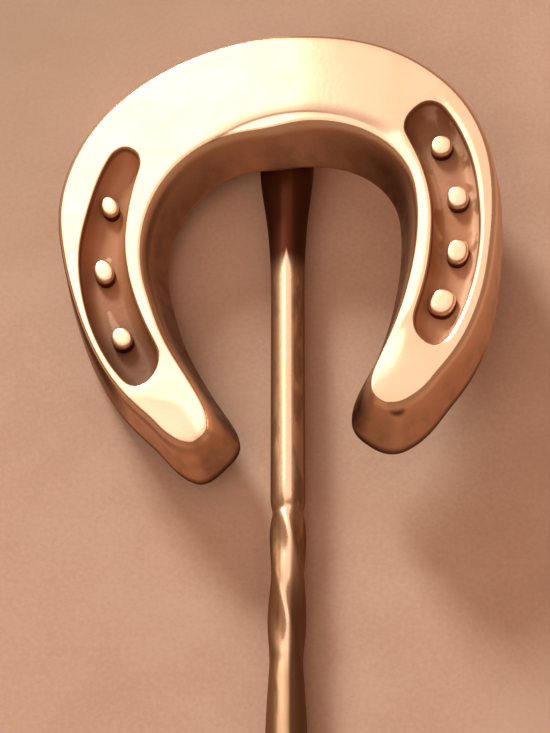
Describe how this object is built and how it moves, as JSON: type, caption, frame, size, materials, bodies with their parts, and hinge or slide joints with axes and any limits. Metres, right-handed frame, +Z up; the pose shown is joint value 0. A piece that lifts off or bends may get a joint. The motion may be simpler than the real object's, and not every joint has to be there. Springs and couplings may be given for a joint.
{
  "type": "horseshoe stick pin",
  "caption": "Straight gold stick pin with a flat-faced horseshoe head, nails standing in its two channels, a short twisted grip and a plain point.",
  "frame": {"origin": "on the ground, under the middle of the pin's bounding box", "axes": "+Z up, the pin lies face up along Y with the toe of the shoe at +Y and the point at -Y, +X to the right of the shoe"},
  "size_m": [0.0128, 0.0618, 0.0035],
  "materials": {
    "gold": "polished rose gold, tarnished brown in its recesses",
    "nail_gold": "polished rose gold"
  },
  "bodies": {
    "root": {"shoe_and_stem": "gold", "nail_left_1": "nail_gold", "nail_left_2": "nail_gold", "nail_left_3": "nail_gold", "nail_right_1": "nail_gold", "nail_right_2": "nail_gold", "nail_right_3": "nail_gold", "nail_right_4": "nail_gold"}
  },
  "joints": []
}
